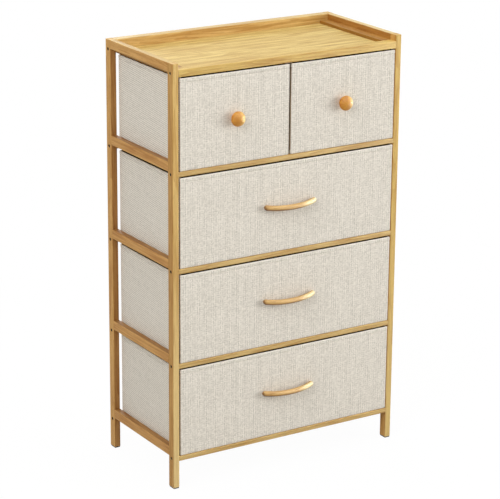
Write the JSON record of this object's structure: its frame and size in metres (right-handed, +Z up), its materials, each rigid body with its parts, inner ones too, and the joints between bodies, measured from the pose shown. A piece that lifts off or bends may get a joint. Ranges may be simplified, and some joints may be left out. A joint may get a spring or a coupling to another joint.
{
  "type": "chest of drawers",
  "caption": "Tall narrow chest of drawers: light wooden ladder frame with a rimmed top, fabric drawers that slide on shelves, round knobs and arched handles.",
  "frame": {"origin": "bottom centre of the whole object's box, handles included, on the floor", "axes": "+Z up, +X to the right seen from the front, +Y from the drawer fronts to the back"},
  "size_m": [0.6, 0.326, 0.985],
  "materials": {
    "frame_wood": "satin clear lacquer over light brown wood",
    "panel_wood": "satin lacquered board with straight grain along its length",
    "turned_wood": "smooth lacquered wood",
    "linen_cloth": "matt linen-look weave, off-white",
    "fibreboard": "raw brown board",
    "dark_steel": "dark oxide",
    "dark_plastic": "matt"
  },
  "bodies": {
    "frame": {"back_rail_1": "frame_wood", "back_rail_2": "frame_wood", "back_rail_3": "frame_wood", "back_rail_4": "frame_wood", "back_rail_top": "frame_wood", "foot_pads": "dark_plastic", "frame_screws": "dark_steel", "front_rail_1": "frame_wood", "front_rail_2": "frame_wood", "front_rail_3": "frame_wood", "front_rail_4": "frame_wood", "front_rail_top": "frame_wood", "post_front_left": "frame_wood", "post_front_right": "frame_wood", "post_rear_left": "frame_wood", "post_rear_right": "frame_wood", "shelf_panel_1": "panel_wood", "shelf_panel_2": "panel_wood", "shelf_panel_3": "panel_wood", "shelf_panel_4": "panel_wood", "side_rail_left_1": "frame_wood", "side_rail_left_2": "frame_wood", "side_rail_left_3": "frame_wood", "side_rail_left_4": "frame_wood", "side_rail_left_5": "frame_wood", "side_rail_right_1": "frame_wood", "side_rail_right_2": "frame_wood", "side_rail_right_3": "frame_wood", "side_rail_right_4": "frame_wood", "side_rail_right_5": "frame_wood", "top_end_rail_left": "frame_wood", "top_end_rail_right": "frame_wood", "top_panel": "panel_wood"},
    "top_left_drawer": {"top_left_drawer_base_board": "fibreboard", "top_left_drawer_bin": "linen_cloth", "top_left_drawer_front_board": "fibreboard", "top_left_drawer_knob": "turned_wood", "top_left_drawer_screws": "dark_steel"},
    "top_right_drawer": {"top_right_drawer_base_board": "fibreboard", "top_right_drawer_bin": "linen_cloth", "top_right_drawer_front_board": "fibreboard", "top_right_drawer_knob": "turned_wood", "top_right_drawer_screws": "dark_steel"},
    "upper_drawer": {"upper_drawer_base_board": "fibreboard", "upper_drawer_bin": "linen_cloth", "upper_drawer_front_board": "fibreboard", "upper_drawer_handle": "turned_wood", "upper_drawer_screws": "dark_steel"},
    "middle_drawer": {"middle_drawer_base_board": "fibreboard", "middle_drawer_bin": "linen_cloth", "middle_drawer_front_board": "fibreboard", "middle_drawer_handle": "turned_wood", "middle_drawer_screws": "dark_steel"},
    "lower_drawer": {"lower_drawer_base_board": "fibreboard", "lower_drawer_bin": "linen_cloth", "lower_drawer_front_board": "fibreboard", "lower_drawer_handle": "turned_wood", "lower_drawer_screws": "dark_steel"}
  },
  "joints": [
    {"name": "top_left_drawer_slide", "type": "slide", "parent": "frame", "child": "top_left_drawer", "axis": [0, -1, 0], "range_m": [0, 0.2]},
    {"name": "top_right_drawer_slide", "type": "slide", "parent": "frame", "child": "top_right_drawer", "axis": [0, -1, 0], "range_m": [0, 0.2]},
    {"name": "upper_drawer_slide", "type": "slide", "parent": "frame", "child": "upper_drawer", "axis": [0, -1, 0], "range_m": [0, 0.2]},
    {"name": "middle_drawer_slide", "type": "slide", "parent": "frame", "child": "middle_drawer", "axis": [0, -1, 0], "range_m": [0, 0.2]},
    {"name": "lower_drawer_slide", "type": "slide", "parent": "frame", "child": "lower_drawer", "axis": [0, -1, 0], "range_m": [0, 0.2]}
  ]
}
